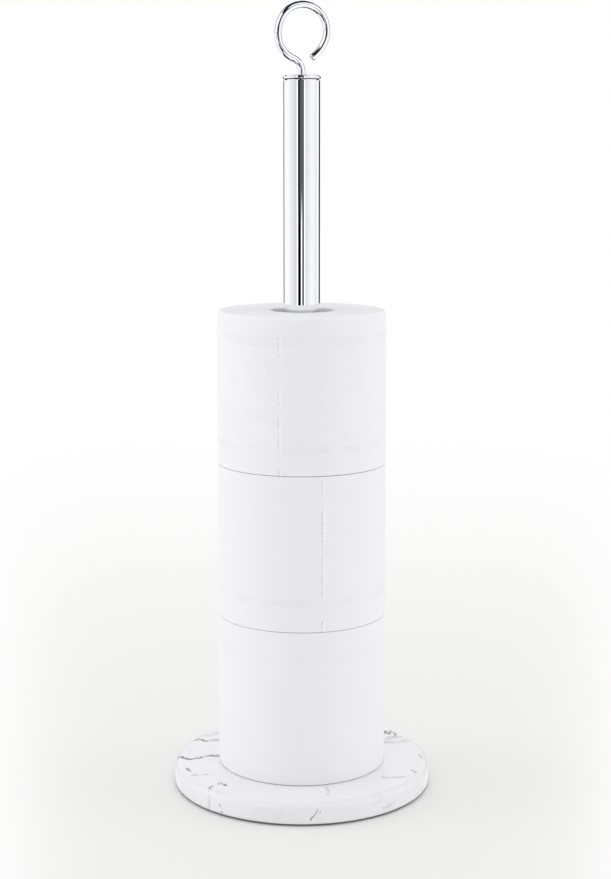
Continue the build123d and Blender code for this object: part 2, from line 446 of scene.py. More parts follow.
def make_paper(name, seed, top_edge, foot_edge, tail):
    """One wound roll: a spiral of sheet with a loose tail edge, soft rims and slightly uneven faces.

    The outer radius falls by one ply on the way round and steps back up at the tail, less a slow
    ripple that grows towards the rims. The end faces wave a little where single turns stand proud.
    """
    bore_edge = 0.7
    tail_lift = 0.12
    tail_reach = 9.0
    slack = 0.13
    rim_reach = 7.0
    face_height = 50.0
    wide_turns = 2.7
    narrow_turns = 1.9
    low, high = span(name + "_paper")
    foot = [(PAPER_BORE, low[2], bore_edge), (ROLL_RADIUS, low[2], foot_edge)]
    top = [(ROLL_RADIUS, high[2], top_edge), (PAPER_BORE, high[2], bore_edge)]
    profile = outline(foot + top, spacing=1.2, steps=10)
    columns = 336
    angle = turn_angles(columns)[None, :]
    radius, height = carried_round(profile, columns)
    outer = np.clip((radius - (ROLL_RADIUS - top_edge - 2)) / (top_edge + 2), 0, 1) ** 2
    round_from_tail = ((angle - tail) / (2 * pi)) % 1.0
    lifted = np.exp(-round_from_tail * 2 * pi * ROLL_RADIUS / tail_reach)
    spiral = PAPER_PLY * round_from_tail - tail_lift * lifted
    uneven = 0.5 + 0.5 * ripple(angle, height, seed, 9)
    near_rim = np.exp(-np.minimum(high[2] - height, height - low[2]) / rim_reach)
    radius = radius - outer * (slack + spiral + uneven * (0.22 + 0.18 * near_rim))
    middle = (low[2] + high[2]) / 2
    face = np.clip((np.abs(height - middle) - face_height) / 3.0, 0, 1)
    wide = np.sin(radius * 2 * pi / wide_turns)
    narrow = np.sin(radius * 2 * pi / narrow_turns + 2 * angle)
    turns = 0.5 + 0.25 * wide + 0.25 * narrow
    waves = 0.5 + 0.5 * ripple(angle, radius * 2, seed + FACE_SEED, 6)
    sag = turns * 0.10 + 0.12 * waves
    height = height - np.sign(height - middle) * face * (1 - outer * 0.85) * sag
    return turned_surface(name + "_tissue_roll", radius, height)


def hexagon_radius(flats, angle):
    """Distance from the middle of a hexagon to its side at each angle."""
    return flats / 2 / np.cos((angle + pi / 6) % (pi / 3) - pi / 6)


def make_base_bolt():
    """Button-head screw: hexagon socket, domed head and a threaded shank with a chamfered tip."""
    columns = 96
    angle = turn_angles(columns)
    socket = hexagon_radius(BOLT_SOCKET_FLATS, angle)
    head_top = BOLT_FOOT + BOLT_HEAD
    dome = np.linspace(0, pi / 2, 14)
    flat_edge = BOLT_HEAD_RADIUS - BOLT_DOME
    ones = np.ones(columns)
    rows = [(socket * s, BOLT_FOOT + BOLT_SOCKET_DEPTH) for s in (0.5, 0.97)]
    rows += [(socket, BOLT_FOOT + h) for h in (BOLT_SOCKET_DEPTH - 0.05, 1.2, 0.1)]
    rows += [(socket * 1.03, BOLT_FOOT), (flat_edge * 0.97 * ones, BOLT_FOOT)]
    rows += [((flat_edge + BOLT_DOME * sin(a)) * ones, BOLT_FOOT + BOLT_DOME * (1 - cos(a))) for a in dome]
    rows += [(BOLT_HEAD_RADIUS * ones, head_top - h) for h in (0.8, 0.1)]
    rows += [((BOLT_HEAD_RADIUS - 0.1) * ones, head_top), (THREAD_RADIUS * 1.05 * ones, head_top)]
    rows += [(THREAD_RADIUS * ones, head_top + 0.1)]
    shank = np.arange(head_top + 0.2, BOLT_TIP - 0.8, 0.125)
    cut = thread_cut(shank[:, None], angle[None, :], THREAD_PITCH, head_top + 1.5, BOLT_TIP + 1)
    rows += [(THREAD_RADIUS - c, h) for c, h in zip(cut, shank)]
    rows += [((THREAD_RADIUS - 0.85) * ones, BOLT_TIP), ((THREAD_RADIUS - 1.2) * ones, BOLT_TIP)]
    return turned_rows("button_head_bolt", rows)


def make_joiner_stud():
    """Insert of the upper length: a chamfered body over a threaded stud."""
    columns = 128
    angle = turn_angles(columns)
    ones = np.ones(columns)
    rows = [(s * ones, STUD_TIP) for s in (2.4, THREAD_RADIUS - 0.85)]
    shank = np.arange(STUD_TIP + 0.8, POLE_JOINT - 0.1, 0.125)
    cut = thread_cut(shank[:, None], angle[None, :], THREAD_PITCH, STUD_TIP - 1, POLE_JOINT - 1.0)
    rows += [(THREAD_RADIUS - c, h) for c, h in zip(cut, shank)]
    lead = 0.6
    rows += [(r * ones, POLE_JOINT) for r in (THREAD_RADIUS + 0.1, 8.0, INSERT_RADIUS - lead)]
    rows += [(INSERT_RADIUS * ones, POLE_JOINT + h) for h in (lead, 1.0, 9.0, 17.0, 18.0 - lead)]
    rows += [(r * ones, INSERT_TOP) for r in (INSERT_RADIUS - lead, 8.0, 3.0)]
    return turned_rows("threaded_joiner", rows)


# Finishes


class Recipe:
    """Short words for putting nodes together. A value may be a number or a socket.

    The owner is a new material, a new world or a new node group.
    """

    def __init__(self, owner):
        self.owner = owner
        if isinstance(owner, bpy.types.NodeTree):
            self.tree = owner
        else:
            owner.use_nodes = True
            self.tree = owner.node_tree
            self.tree.nodes.clear()

    def node(self, kind, **settings):
        made = self.tree.nodes.new(kind)
        for key, value in settings.items():
            setattr(made, key, value)
        return made

    def join(self, value, socket):
        if isinstance(value, bpy.types.NodeSocket):
            self.tree.links.new(value, socket)
        else:
            socket.default_value = value

    def feed(self, made, *values):
        """Joins values to a node's first inputs in their order, and gives its first output."""
        for value, socket in zip(values, made.inputs):
            self.join(value, socket)
        return made.outputs[0]

    def place(self):
        """The surface's own place in millimetres."""
        coordinates = self.node("ShaderNodeTexCoord").outputs["Object"]
        return self.vector("SCALE", coordinates, scale=1 / MM)

    def math(self, operation, a, b=0.0, c=0.0, clamp=False):
        return self.feed(self.node("ShaderNodeMath", operation=operation, use_clamp=clamp), a, b, c)

    def plus(self, a, b):
        return self.math("ADD", a, b)

    def minus(self, a, b):
        return self.math("SUBTRACT", a, b)

    def times(self, a, b):
        return self.math("MULTIPLY", a, b)

    def most(self, a, b):
        return self.math("MAXIMUM", a, b)

    def gap(self, a, b):
        """How far two values are apart."""
        return self.math("ABSOLUTE", self.minus(a, b))

    def vector(self, operation, a, b=(0, 0, 0), scale=1.0):
        made = self.node("ShaderNodeVectorMath", operation=operation)
        self.join(a, made.inputs[0])
        self.join(b, made.inputs[1])
        self.join(scale, made.inputs[3])
        return made.outputs["Value" if operation in ("LENGTH", "DOT_PRODUCT", "DISTANCE") else "Vector"]

    def parts(self, vector):
        made = self.node("ShaderNodeSeparateXYZ")
        self.join(vector, made.inputs[0])
        return made.outputs

    def together(self, x, y, z):
        return self.feed(self.node("ShaderNodeCombineXYZ"), x, y, z)

    def from_axis(self, x, y):
        return self.vector("LENGTH", self.together(x, y, 0.0))

    def noise(self, place, scale, detail=2.0, roughness=0.5, colour=False):
        made = self.node("ShaderNodeTexNoise")
        self.join(place, made.inputs["Vector"])
        self.join(scale, made.inputs["Scale"])
        self.join(detail, made.inputs["Detail"])
        self.join(roughness, made.inputs["Roughness"])
        return made.outputs["Color" if colour else "Fac"]

    def span(self, value, low, high, to_low=0.0, to_high=1.0, smooth=True):
        """The value's way from low to high, brought to the other pair of ends."""
        made = self.node("ShaderNodeMapRange", interpolation_type="SMOOTHSTEP" if smooth else "LINEAR")
        return self.feed(made, value, low, high, to_low, to_high)

    def blend(self, share, first, second):
        """Colour from the first to the second."""
        made = self.node("ShaderNodeMix", data_type="RGBA")
        self.join(share, made.inputs[0])
        self.join(first, made.inputs[6])
        self.join(second, made.inputs[7])
        return made.outputs[2]

    def ramp(self, value, stops):
        """Grey levels at places along a value from 0 to 1."""
        made = self.node("ShaderNodeValToRGB")
        self.join(value, made.inputs[0])
        row = made.color_ramp.elements
        while len(row) < len(stops):
            row.new(1.0)
        for item, (at, level) in zip(row, stops):
            item.position = at
            item.color = (level, level, level, 1)
        return made.outputs[0]

    def relief(self, height):
        """A bump of the given height in millimetres."""
        made = self.node("ShaderNodeBump")
        made.inputs["Strength"].default_value = 1.0
        made.inputs["Distance"].default_value = MM
        self.join(height, made.inputs["Height"])
        return made.outputs[0]

    def mix(self, share, first, second):
        """Light from the first to the second."""
        return self.feed(self.node("ShaderNodeMixShader"), share, first, second)

    def finish(self, **values):
        """Ends the recipe in one surface shader with the named values."""
        shader = self.node("ShaderNodeBsdfPrincipled")
        for key, value in values.items():
            self.join(value, shader.inputs[key.replace("_", " ")])
        self.join(shader.outputs[0], self.node("ShaderNodeOutputMaterial").inputs["Surface"])
        return self.owner


# The painted shade in the seam under the cap: its height, half of its dark core, where it ends, how dark
# it is
SHADE_LINE_HEIGHT = POLE_TOP - 0.1
SHADE_LINE_CORE = 0.15
SHADE_LINE_END = 0.55
SHADE_LINE_DARK = 0.85


def chrome_plate():
    """Mirror-bright chrome with a slow change of haze, faint wiping marks and painted shade in the seam at
    the cap.

    The cap's flat face is left satin from the lathe, with fine rings round the wire.
    """
    make = Recipe(bpy.data.materials.new("chrome_plate"))
    place = make.place()
    x, y, z = make.parts(place)
    # Painted shade: a thin dark line in the chrome's colour where the tube meets the cap
    seam = make.span(make.gap(z, SHADE_LINE_HEIGHT), SHADE_LINE_CORE, SHADE_LINE_END, SHADE_LINE_DARK, 0.0)
    haze = make.noise(place, 0.05, 3.0)
    marks = make.noise(make.vector("MULTIPLY", place, (1.0, 1.0, 0.08)), 1.6, 2.0)
    roughness = make.span(haze, 0.3, 0.7, 0.012, 0.03)
    roughness = make.plus(roughness, make.span(marks, 0.55, 0.8, 0.0, 0.015))
    radius = make.from_axis(x, y)
    on_face = make.span(make.gap(z, CAP_TOP), 0.05, 0.15, 1.0, 0.0)
    on_face = make.times(on_face, make.span(radius, WIRE_RADIUS + 0.05, WIRE_RADIUS + 0.2))
    rings = make.span(make.noise(make.together(radius, 0.0, 0.0), 2.2, 2.0), 0.3, 0.7, 0.24, 0.40)
    roughness = make.plus(roughness, make.times(on_face, rings))
    tone = make.blend(haze, (0.935, 0.940, 0.950, 1), (0.950, 0.953, 0.960, 1))
    tone = make.blend(seam, tone, (0.02, 0.02, 0.025, 1))
    return make.finish(Base_Color=tone, Metallic=1.0, Roughness=roughness)


def zinc_plate():
    """Bright zinc on turned steel: fine turning lines and a mottled, slightly blue tone."""
    make = Recipe(bpy.data.materials.new("zinc_plate"))
    place = make.place()
    mottle = make.noise(place, 0.35, 4.0, 0.6)
    x, y, z = make.parts(place)
    radius = make.from_axis(x, y)
    lines = make.noise(make.together(radius, z, 0.0), 6.0, 1.0)
    tone = make.blend(mottle, (0.50, 0.52, 0.55, 1), (0.68, 0.69, 0.70, 1))
    roughness = make.span(mottle, 0.3, 0.7, 0.28, 0.42)
    turned = make.relief(make.times(lines, 0.02))
    return make.finish(Base_Color=tone, Metallic=1.0, Roughness=roughness, Normal=turned)


def foam_rubber():
    """Dark closed-cell foam with small open pores."""
    make = Recipe(bpy.data.materials.new("foam_rubber"))
    place = make.place()
    cells = make.node("ShaderNodeTexVoronoi", feature="F1")
    make.join(place, cells.inputs["Vector"])
    cells.inputs["Scale"].default_value = 1.1
    pore = make.span(cells.outputs["Distance"], 0.1, 0.45)
    tone = make.blend(make.noise(place, 0.2, 4.0), (0.035, 0.035, 0.037, 1), (0.075, 0.074, 0.072, 1))
    return make.finish(Base_Color=tone, Roughness=0.92, Normal=make.relief(make.times(pore, 0.12)))


def core_board():
    """Pale grey-brown board: fibres, specks and the darker line where two plies meet."""
    make = Recipe(bpy.data.materials.new("core_board"))
    place = make.place()
    x, y, z = make.parts(place)
    turn = make.math("DIVIDE", make.math("ARCTAN2", y, x), 2 * pi)
    phase = make.math("FRACT", make.minus(make.math("DIVIDE", z, CORE_PLY_CLIMB), turn))
    seam = make.span(make.gap(phase, 0.5), 0.004, 0.02, 0.35, 0.0)
    fibres = make.noise(make.vector("MULTIPLY", place, (1.0, 1.0, 0.25)), 1.4, 5.0, 0.65)
    specks = make.span(make.noise(place, 2.6, 2.0), 0.66, 0.74, 0.0, 0.35)
    tone = make.blend(fibres, (0.86, 0.84, 0.80, 1), (0.94, 0.92, 0.89, 1))
    tone = make.blend(make.most(seam, specks), tone, (0.58, 0.54, 0.48, 1))
    return make.finish(Base_Color=tone, Roughness=0.88, Normal=make.relief(make.times(fibres, 0.10)))


# Bands of slanted strokes pressed into each roll's sheet: how far from one edge the band starts, how
# tall it is and how clearly it is pressed, then the same for the band beside the other edge
NEAR_BAND = {"bottom": (7.6, 5.6, 0.0), "middle": (9.5, 7.0, 0.32), "top": (13.2, 6.6, 0.9)}
FAR_BAND = {"bottom": (16.0, 5.5, 0.42), "middle": (17.5, 5.3, 1.1), "top": (14.6, 5.2, 1.3)}

# How clearly the small scattered fields of strokes are pressed
FIELDS = {"bottom": 0.0, "middle": 0.25, "top": 0.6}

# The strokes' distance and lean, how far the fields stay from the bands, and the perforation
STROKE_PITCH = 1.8
STROKE_SLANT = 0.6
FIELD_PITCH = 1.7
FIELD_SLANT = 0.35
FIELD_MARGIN = 3.0
SHEET_LENGTH = 110.0
PERFORATION_PITCH = 3.1


def tissue(name, perforation, torn_open, flipped):
    """Embossed white tissue, for one roll that stands at its own height.

    The near band counts from the top, and from the foot of a flipped roll. Distance round the roll
    is angle * radius. The strokes are a wave along that distance, sheared by the height and held to
    two bands, and pressed more here and less there. The perforation repeats every sheet, as short
    cuts with bridges beside a lifted edge, and is left out where the angle jumps by a whole turn.
    Small fields of finer strokes that lean the other way are scattered between the bands. One blend
    then paints shade into the pressed hollows and another paints a highlight on the ridges. The
    lifted edge gets a painted highlight, the cuts painted shade, and the lines between the turns on
    the end faces painted shade.
    """
    low, high = span(name + "_paper")
    make = Recipe(bpy.data.materials.new(name + "_tissue"))
    place = make.place()
    x, y, z = make.parts(place)
    radius = make.from_axis(x, y)
    angle = make.math("ARCTAN2", y, x)
    along = make.times(angle, ROLL_RADIUS)
    from_near = make.minus(z, low[2]) if flipped else make.minus(high[2], z)
    side = make.span(radius, ROLL_RADIUS - 4.0, ROLL_RADIUS - 1.5)

    def band(start, tall):
        inside = make.span(from_near, start - 0.3, start + 0.3)
        past = make.span(from_near, start + tall - 0.3, start + tall + 0.3)
        return make.minus(inside, past)

    near_start, near_tall, near_share = NEAR_BAND[name]
    far_start, far_tall, far_share = FAR_BAND[name]
    roll_length = high[2] - low[2]
    near_band = band(near_start, near_tall)
    far_band = band(roll_length - far_start - far_tall, far_tall)
    bands = make.plus(make.times(near_band, near_share), make.times(far_band, far_share))
    sheared = make.plus(along, make.times(z, STROKE_SLANT))
    worn = make.noise(make.vector("ADD", place, (90.0, 30.0, 10.0)), 0.03, 2.0)
    strokes = make.math("SINE", make.times(sheared, 2 * pi / STROKE_PITCH))
    strokes = make.times(strokes, bands)
    strokes = make.times(strokes, make.span(worn, 0.36, 0.54, 0.1, 1.0))

    turn_to_sheet = make.times(make.minus(angle, perforation), ROLL_RADIUS)
    from_cut = make.math("WRAP", turn_to_sheet, SHEET_LENGTH / 2, -SHEET_LENGTH / 2)
    jitter = make.times(make.minus(make.noise(place, 0.5, 1.0), 0.5), 0.8)
    from_cut = make.plus(from_cut, jitter)
    off_jump = make.span(make.math("ABSOLUTE", angle), pi - 0.12, pi - 0.1, 1.0, 0.0)
    uneven = make.times(make.noise(place, 0.35, 1.0), 3.5)
    dashes = make.math("FRACT", make.plus(make.math("DIVIDE", z, PERFORATION_PITCH), uneven))
    dashes = make.span(make.gap(dashes, 0.5), 0.22, 0.34, 1.0, 0.0)
    torn = make.noise(make.vector("ADD", place, (5.0, 0.0, 60.0)), 0.055, 2.0)
    open_here = make.times(make.span(torn, 0.42, 0.60, 0.05, torn_open), side)
    open_here = make.times(open_here, off_jump)
    cuts = make.times(make.span(make.math("ABSOLUTE", from_cut), 0.15, 0.6, 1.0, 0.0), dashes)
    cuts = make.times(cuts, open_here)
    lifted = make.times(make.span(make.gap(from_cut, 1.5), 0.3, 1.0, 1.0, 0.0), open_here)

    fields = make.noise(make.vector("MULTIPLY", place, (1.0, 1.0, 1.3)), 0.085, 1.0)
    fields = make.times(make.span(fields, 0.56, 0.64), make.span(worn, 0.44, 0.56, 1.0, 0.0))
    bent = make.times(make.noise(place, 0.08, 1.0), 7.0)
    leaning = make.minus(make.plus(along, bent), make.times(z, FIELD_SLANT))
    leaning = make.math("SINE", make.times(leaning, 2 * pi / FIELD_PITCH))
    clear = near_start + near_tall + FIELD_MARGIN
    between_bands = band(clear, roll_length - far_start - far_tall - FIELD_MARGIN - clear)
    fields = make.times(make.times(leaning, fields), between_bands)
    fields = make.times(fields, FIELDS[name])
    pressed = make.times(make.plus(strokes, fields), side)

    crepe = make.noise(make.vector("MULTIPLY", place, (1.0, 1.0, 0.22)), 1.5, 4.0, 0.6)
    turns = make.noise(make.together(radius, make.times(angle, 0.8), 0.0), 2.3, 2.0)
    on_face = make.minus(1.0, side)
    relief = make.times(crepe, 0.10)
    relief = make.minus(relief, make.times(pressed, 0.04))
    relief = make.minus(relief, make.times(cuts, 0.12))
    relief = make.plus(relief, make.times(lifted, 0.08))
    relief = make.plus(relief, make.times(make.times(turns, on_face), 0.25))

    cloud = make.noise(place, 0.02, 3.0)
    tone = make.blend(cloud, (0.888, 0.886, 0.924, 1), (0.913, 0.911, 0.944, 1))
    # Painted shade in the pressed hollows, then a painted highlight on the ridges
    tone = make.blend(make.span(pressed, 0.0, 1.0, 0.0, 0.46, smooth=False), tone, (0.59, 0.59, 0.63, 1))
    tone = make.blend(make.span(pressed, -1.0, 0.0, 1.0, 0.0, smooth=False), tone, (0.975, 0.973, 1.0, 1))
    # Painted highlight on the lifted edge beside the perforation, then painted shade in its cuts
    tone = make.blend(make.times(lifted, 0.6), tone, (0.985, 0.985, 0.99, 1))
    tone = make.blend(make.times(cuts, 0.40), tone, (0.50, 0.50, 0.54, 1))
    # Painted shade in the lines between the turns on the end faces
    turn_shade_lines = make.times(make.span(turns, 0.45, 0.7, 0.0, 0.08), on_face)
    tone = make.blend(turn_shade_lines, tone, (0.72, 0.72, 0.75, 1))
    return make.finish(
        Base_Color=tone, Roughness=0.94, Specular_IOR_Level=0.15, Normal=make.relief(relief)
    )


# Veins of the base as seen from the front: points (to the right, away, up) in millimetres from the
# axis, the width of the vein and how dark it is
VEINS = [
    ([(-89.5, 2, 10), (-88.5, 1, 14), (-86.5, 0, 16), (-83.5, -3, 16), (-80.5, -5, 16),
      (-75.5, -4, 16), (-72.5, -2, 16), (-66, 1, 16), (-52, 2, 16)], 2.3, 1.3),
    ([(-79, 34, 16), (-74, 35.5, 16), (-70, 33, 16)], 2.3, 1.1),
    ([(-70, 33, 16), (-57, 35.5, 16), (-46, 33, 16)], 2.4, 0.6),
    # This faint wide stroke runs along the inner edge of the back rim's rounding: partly a grey vein,
    # partly painted shade of that rounding
    ([(-78, 41, 15), (-66, 47, 16), (-52, 60, 16)], 4.5, 0.20),
    ([(-80, -24, 16), (-77.5, -29, 16)], 2.0, 0.8),
    ([(-75, -37, 16), (-65.5, -36, 16)], 1.8, 0.6),
    ([(-62, -61, 15.5), (-60, -57, 16)], 1.8, 0.8),
    ([(-57, -54, 16), (-55, -52, 16), (-52, -57, 16)], 1.8, 1.3),
    ([(-62.5, -62, 14), (-62, -64, 9), (-63, -64, 2)], 1.4, 0.30),
    ([(-56, -66, 15), (-55, -70, 9), (-53.5, -72, 2)], 1.0, 0.60),
    ([(60, 45, 16), (62, 55, 16), (64.5, 47, 16), (66, 58, 16)], 1.6, 1.0),
    ([(66, 58, 16), (69, 48, 16), (71, 55, 16), (68, 43, 16), (63, 41, 16)], 1.6, 0.8),
    ([(58, 36, 16), (66, 38, 16), (73, 44, 16)], 3.5, 0.35),
    ([(56, 29, 16), (72, 31, 16), (80, 36, 15)], 4.0, 0.30),
    ([(56, -42, 16), (60, -41, 16), (71, -40, 16)], 1.6, 0.6),
    ([(77, -28, 16), (79, -31, 16)], 2.0, 0.5),
    ([(84, 3, 16), (85.5, -4, 15)], 2.0, 0.5),
    ([(88, 5, 12), (89, -1, 8)], 1.4, 0.5),
    ([(85, -24, 8), (83, -33, 4)], 1.2, 0.4),
    ([(16, -60, 16), (18, -68, 16), (17, -75, 16)], 2.2, 0.25),
    ([(11, -88.5, 12.5), (9.5, -89, 10)], 1.0, 1.3),
    ([(8.5, -89, 8.5), (6, -89, 5)], 0.9, 1.2),
    ([(12, -88.5, 10.5), (11.5, -88.5, 8)], 0.8, 0.7),
    ([(54, -72, 5), (62, -65, 7)], 1.6, 0.30),
    ([(-40, 66, 16), (-22, 58, 16), (-6, 63, 16), (12, 55, 16), (26, 58, 16)], 2.2, 0.8),
    ([(26, 58, 16), (38, 70, 16), (43, 79, 12), (44, 80, 4)], 1.6, 0.6),
    ([(-12, 84, 15), (-9, 76, 16), (-14, 68, 16)], 1.6, 0.6),
    ([(-50, 74, 10), (-47, 76, 4)], 1.2, 0.5),
]

# Height up to which the foot of the base is darkened with painted contact shade, and half of the way over
# which it ends
FOOT_SHADE = 1.5
FOOT_SHADE_SOFT = 0.15


def vein_stroke():
    """Node group: how dark one stretch of vein is at a place.

    The distance from the place to the stretch is taken at the nearest point on it, and the darkness
    falls off from the vein's core to nothing at its width.
    """
    group = bpy.data.node_groups.new("vein_stroke", "ShaderNodeTree")
    kinds = {"Place": "Vector", "Start": "Vector", "Reach": "Vector", "Width": "Float", "Dark": "Float"}
    for name, kind in kinds.items():
        group.interface.new_socket(name=name, in_out="INPUT", socket_type="NodeSocket" + kind)
    group.interface.new_socket(name="Shade", in_out="OUTPUT", socket_type="NodeSocketFloat")
    make = Recipe(group)
    given = make.node("NodeGroupInput").outputs
    from_start = make.vector("SUBTRACT", given["Place"], given["Start"])
    passed = make.vector("DOT_PRODUCT", from_start, given["Reach"])
    whole = make.vector("DOT_PRODUCT", given["Reach"], given["Reach"])
    nearest = make.vector("SCALE", given["Reach"], scale=make.math("DIVIDE", passed, whole, clamp=True))
    off = make.vector("DISTANCE", from_start, nearest)
    shade = make.math("MULTIPLY", make.span(off, 0.1, given["Width"], 1.0, 0.0), given["Dark"], clamp=True)
    make.join(shade, make.node("NodeGroupOutput").inputs[0])
    return group


def cast_resin():
    """White cast resin with thin grey-violet veins, satin polished.

    The place is first pushed about by noise, mostly to and fro, so that the veins wander, and noise
    thins them along their run. Faint cloudy bands and hair veins come from where slow noises pass
    their middle level. The foot of the side is darkened with painted shade where it meets the pad and the
    floor.
    """
    make = Recipe(bpy.data.materials.new("cast_resin"))
    place = make.place()

    def pushed(start, scale, detail, roughness, reach):
        noise = make.noise(place, scale, detail, roughness, colour=True)
        push = make.vector("SUBTRACT", noise, (0.5, 0.5, 0.5))
        return make.vector("ADD", start, make.vector("MULTIPLY", push, reach))

    drifting = pushed(place, 0.05, 3.0, 0.5, (12.0, 12.0, 12.0))
    wandering = pushed(place, 0.20, 3.0, 0.65, (4.0, 10.0, 4.0))
    wandering = pushed(wandering, 0.8, 1.0, 0.5, (1.0, 4.0, 1.0))
    stroke = vein_stroke()
    dark = 0.0
    turn = np.array([[cos(VIEW_FROM), -sin(VIEW_FROM), 0], [sin(VIEW_FROM), cos(VIEW_FROM), 0], [0, 0, 1]])
    for points, width, depth in VEINS:
        points = np.array(points, float) @ turn.T
        for start, end in zip(points[:-1], points[1:]):
            made = make.node("ShaderNodeGroup")
            made.node_tree = stroke
            make.join(wandering, made.inputs["Place"])
            made.inputs["Start"].default_value = start
            made.inputs["Reach"].default_value = end - start
            made.inputs["Width"].default_value = width
            made.inputs["Dark"].default_value = depth
            dark = make.most(dark, made.outputs[0])
    thinning = make.span(make.noise(place, 0.35, 2.0, 0.6), 0.34, 0.50, 0.35, 1.0)
    dark = make.times(dark, thinning)

    slow = make.noise(drifting, 0.018, 4.0, 0.55)
    hair = make.span(make.gap(slow, 0.5), 0.0015, 0.006, 1.0, 0.0)
    where = make.span(make.noise(make.vector("ADD", place, (40.0, 15.0, 0.0)), 0.03, 2.0), 0.50, 0.64)
    hair = make.times(make.times(hair, where), 0.16)
    cloud = make.span(make.noise(drifting, 0.028, 4.0, 0.6), 0.50, 0.72, 0.0, 0.16)

    tone = make.blend(cloud, (0.865, 0.862, 0.880, 1), (0.76, 0.765, 0.79, 1))
    tone = make.blend(hair, tone, (0.42, 0.42, 0.46, 1))
    tone = make.blend(dark, tone, (0.045, 0.04, 0.06, 1))
    # Painted shade: the foot of the side is darkened where it meets the pad and the floor
    foot_shade_low, foot_shade_high = FOOT_SHADE - FOOT_SHADE_SOFT, FOOT_SHADE + FOOT_SHADE_SOFT
    foot = make.span(make.parts(place)[2], foot_shade_low, foot_shade_high, 1.0, 0.0)
    tone = make.blend(foot, tone, (0.03, 0.03, 0.035, 1))
    roughness = make.span(make.noise(place, 0.06, 2.0), 0.3, 0.7, 0.27, 0.33)
    orange_peel = make.times(make.noise(place, 0.12, 1.0), 0.01)
    return make.finish(
        Base_Color=tone, Roughness=roughness, Specular_IOR_Level=0.45, Normal=make.relief(orange_peel)
    )


def dress(piece, material, slot, body, *nodes):
    """Gives a piece its material, the body that it rides on and the solids it stands for. The slot is not
    used.
    """
    piece.data.materials.clear()
    piece.data.materials.append(material)
    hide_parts(*nodes)
    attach(piece, body)
    return piece


# For each roll, how far its perforation stands to the right of the camera in degrees and how torn
# it is, and the rounding of the top and of the foot of its paper
PERFORATION = {"bottom": (0.0, 0.3), "middle": (13.5, 1.3), "top": (-15.4, 1.0)}
PAPER_EDGES = {"bottom": (0.1, 0.6), "middle": (0.25, 0.1), "top": (3.0, 0.25)}

# Where the loose tail of the bottom roll lies, and how far on it lies on each roll above
FIRST_TAIL = 118.0
NEXT_TAIL = 37.0
FIRST_SEED = 3


def dress_object():
    """Every visible piece of the stand and of the three rolls, with its finish."""
    chrome = chrome_plate()
    zinc = zinc_plate()
    board = core_board()
    dress(make_base_disc(), cast_resin(), "cast_resin", "stand", "base_disc")
    pad = dress(make_base_pad(), foam_rubber(), "foam_pad", "stand", "base_pad")
    dress(make_tube("lower_tube", POLE_FOOT, POLE_JOINT, 0.12), chrome, "chrome", "stand", "lower_pole")
    upper_tube = make_tube("upper_tube", POLE_JOINT, POLE_TOP, POLE_SHOULDER)
    dress(upper_tube, chrome, "chrome", "stand", "upper_pole")
    dress(make_pole_cap(), chrome, "chrome", "stand", "pole_cap")
    dress(make_ring_handle(), chrome, "chrome", "stand", "ring_handle")
    dress(make_base_bolt(), zinc, "zinc_steel", "stand", "base_bolt")
    dress(make_joiner_stud(), zinc, "zinc_steel", "stand", "joiner_stud")
    hidden = ("bolt_washer", "spring_washer", "foot_plug", "joiner_socket", "handle_washer", "handle_nut")
    for node in hidden:
        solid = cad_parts[node]
        solid.data.materials.clear()
        solid.data.materials.append(zinc)
    straight_on = VIEW_FROM - pi / 2
    for place, name in enumerate(ROLL_NAMES):
        tail = straight_on + radians(FIRST_TAIL + NEXT_TAIL * place)
        paper = make_paper(name, place + FIRST_SEED, *PAPER_EDGES[name], tail)
        cut_angle, torn_open = PERFORATION[name]
        sheet = tissue(name, straight_on + radians(cut_angle), torn_open, name == "bottom")
        dress(paper, sheet, "tissue", name + "_roll", name + "_paper")
        dress(make_core(name), board, "core_board", name + "_lift", name + "_core")


# Stage


FLOOR_COLOUR = (0.865, 0.862, 0.853, 1)

# Where the floor goes over into white: behind the stand, in front of it past one place, and on both
# sides of a wedge, which widens away from the camera past another place and is even before it
FADE_BEHIND = 730.0
FADE_IN_FRONT = 500.0
FRONT_STARTS = -300.0
WEDGE_STARTS = -200.0
WEDGE_MIDDLE = 0.006
WEDGE_HALF = 0.173
WEDGE_POWER = 8.3


